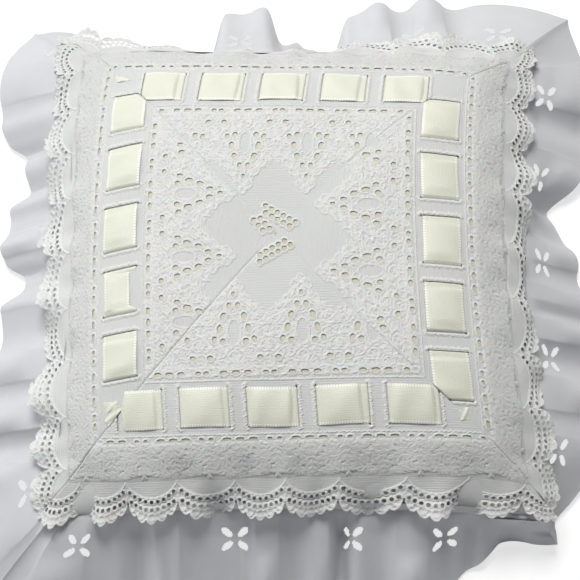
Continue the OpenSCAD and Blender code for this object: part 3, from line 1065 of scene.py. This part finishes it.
def wave(n, vector, direction, scale, distortion=0.0, detail=2.0):
    node = n.tree.nodes.new("ShaderNodeTexWave")
    node.bands_direction = direction
    n.set(node, "Vector", vector)
    node.inputs["Scale"].default_value = scale
    node.inputs["Distortion"].default_value = distortion
    node.inputs["Detail"].default_value = detail
    return node.outputs["Fac"]


def weave(n, vector, scale):
    """Threads over and under, as two waves across each other."""
    return n.math("ADD", wave(n, vector, "X", scale, 0.6, 1.0), wave(n, vector, "Y", scale, 0.6, 1.0))


def painted_border_shade(n, mm):
    """Mask of painted shade: 1 in the dense border, where the colour is darkened, and 0 elsewhere, by the
    flat distance from the middle of the face.
    """
    place = n.tree.nodes.new("ShaderNodeSeparateXYZ")
    n.set(place, 0, mm)
    starts = n.math("MULTIPLY", n.math("SUBTRACT", place.outputs["Y"], 82.5), 0.3)
    ends = n.math("MULTIPLY", n.math("SUBTRACT", 101.0, place.outputs["Y"]), 0.4)
    return n.math("MINIMUM", n.math("MAXIMUM", n.math("MINIMUM", starts, ends), 0.0), 1.0)


def lace_cotton():
    """White cotton: ribbed where it is plain, brighter and shinier where it is stitched, and darkened in
    the dense border as painted shade.
    """
    n = Nodes("eyelet_cotton")
    mm = n.flat_mm()
    work = n.attribute("work")
    ground = n.mix(noise(n, mm, 0.035, 2.0), EDGING_DARK, EDGING_LIGHT)
    colour = n.mix(work, ground, EDGING_STITCH)
    # painted shade: the dense border's ground and stitches are coloured darker, for the shade between its
    # stitches
    colour = n.mix(painted_border_shade(n, mm), colour, n.mix(work, PAINTED_SHADE_BORDER_GROUND, PAINTED_SHADE_BORDER_STITCH))
    plain = n.math("SUBTRACT", 1.0, work)
    ribs = n.math("MULTIPLY", wave(n, mm, "Y", WAVE_UNIT / RIB_PITCH, 0.8, 1.0), plain)
    threads = n.math("MULTIPLY", n.math("ADD", weave(n, mm, 1.1), ribs), 0.25)
    fuzz = n.math("MULTIPLY", noise(n, mm, 2.4, 4.0), 0.6)
    uneven = n.math("ADD", n.math("MULTIPLY", work, 1.5), 0.15)
    stitches = n.math("MULTIPLY", noise(n, mm, 1.3, 3.0), uneven)
    height = n.math("ADD", threads, n.math("ADD", fuzz, stitches))
    rough = n.math("SUBTRACT", 0.86, n.math("MULTIPLY", work, 0.22))
    return n.finish(Base_Color=colour, Roughness=rough, Normal=n.bump(height, 0.0004, 0.7),
                    Sheen_Weight=0.25, Sheen_Roughness=0.5, Subsurface_Weight=0.12, Subsurface_Scale=0.002)


def plain_cotton(name, dark, light, stain=None):
    """Plain woven cotton. With a stain it takes the lining's two attributes."""
    n = Nodes(name)
    mm = n.flat_mm()
    colour = n.mix(noise(n, mm, 0.05, 3.0), dark, light)
    if stain:
        colour = n.mix(n.attribute("work"), colour, stain)
        colour = n.mix(n.attribute("white"), colour, LINING_WHITE)
    height = n.math("ADD", n.math("MULTIPLY", weave(n, mm, 1.3), 0.4), noise(n, mm, 1.8, 4.0))
    return n.finish(Base_Color=colour, Roughness=0.88, Normal=n.bump(height, 0.0002, 0.6),
                    Sheen_Weight=0.2, Sheen_Roughness=0.5)


def cream_satin():
    """Cream ribbon with a fine grain and a row of white stitches along each edge."""
    n = Nodes("cream_satin")
    mm = n.flat_mm()
    colour = n.mix(noise(n, mm, 0.09, 2.0), SATIN_DARK, SATIN_LIGHT)
    at_edge = n.math("GREATER_THAN", n.attribute("work"), 0.86)
    stitch = n.math("GREATER_THAN", wave(n, mm, "X", WAVE_UNIT / PICOT_PITCH), 0.4)
    colour = n.mix(n.math("MULTIPLY", at_edge, stitch), colour, SATIN_PICOT)
    ribs = n.math("MULTIPLY", wave(n, mm, "Y", WAVE_UNIT / SATIN_PITCH, 1.2), 0.22)
    grain = noise(n, mm, 1.4, 3.0)
    height = n.math("ADD", ribs, n.math("MULTIPLY", grain, 1.2))
    colour = n.mix(n.math("MULTIPLY", grain, 0.3), colour, SATIN_GRAIN)
    return n.finish(Base_Color=colour, Roughness=0.5, Normal=n.bump(height, 0.00025, 0.6), Sheen_Weight=0.2,
                    Sheen_Roughness=0.3)


# ---- Floor and light ----

FLOOR_HALF = 3.0

# Lamps: name, place, size, power, colour; both aim at the pillow
LAMP_AIM = (0, 0, 0.03)
LAMPS = [
    ("key_far", (-0.12, 0.58, 1.22), 0.5, 17.0, (1.0, 0.99, 0.96)),
    ("window_left", (-1.2, 0.2, 0.6), 0.8, 5.2, (0.93, 0.96, 1.0)),
]


def add_floor():
    """A pale floor that glows a little, so that it stays white round the pillow."""
    mesh = bpy.data.meshes.new("floor")
    r = FLOOR_HALF
    mesh.from_pydata([(-r, -r, 0), (r, -r, 0), (r, r, 0), (-r, r, 0)], [], [(0, 1, 2, 3)])
    floor = bpy.data.objects.new("floor", mesh)
    bpy.context.scene.collection.objects.link(floor)
    n = Nodes("floor_paint")
    mesh.materials.append(n.finish(Base_Color=(0.45, 0.45, 0.45, 1), Roughness=0.95,
                                   Emission_Color=(1, 1, 1, 1), Emission_Strength=0.62))


def add_light():
    world = bpy.data.worlds.new("studio")
    world.use_nodes = True
    world.node_tree.nodes["Background"].inputs["Color"].default_value = (0.93, 0.95, 1.0, 1)
    world.node_tree.nodes["Background"].inputs["Strength"].default_value = 0.18
    bpy.context.scene.world = world
    for name, place, size, power, colour in LAMPS:
        data = bpy.data.lights.new(name, "AREA")
        data.size, data.energy, data.color = size, power, colour
        light = bpy.data.objects.new(name, data)
        light.location = place
        light.rotation_euler = (Vector(LAMP_AIM) - Vector(place)).to_track_quat("-Z", "Y").to_euler()
        bpy.context.scene.collection.objects.link(light)
    bpy.context.scene.view_settings.view_transform = "Standard"


def main():
    add_camera()
    add_floor()
    add_light()
    white, satin = lace_cotton(), cream_satin()
    pillow_body(plain_cotton("lining_cotton", LINING_DARK, LINING_LIGHT, LINING_STAIN))
    back_cloth(plain_cotton("back_cotton", BACK_DARK, BACK_LIGHT))
    pattern, edge = draw_pattern(), draw_edge()
    for side in SIDES:
        lace_side(side, pattern, edge, white)
        ribbon_side(side, satin)
    ruffle(plain_cotton("ruffle_cotton", RUFFLE_DARK, RUFFLE_LIGHT))


main()
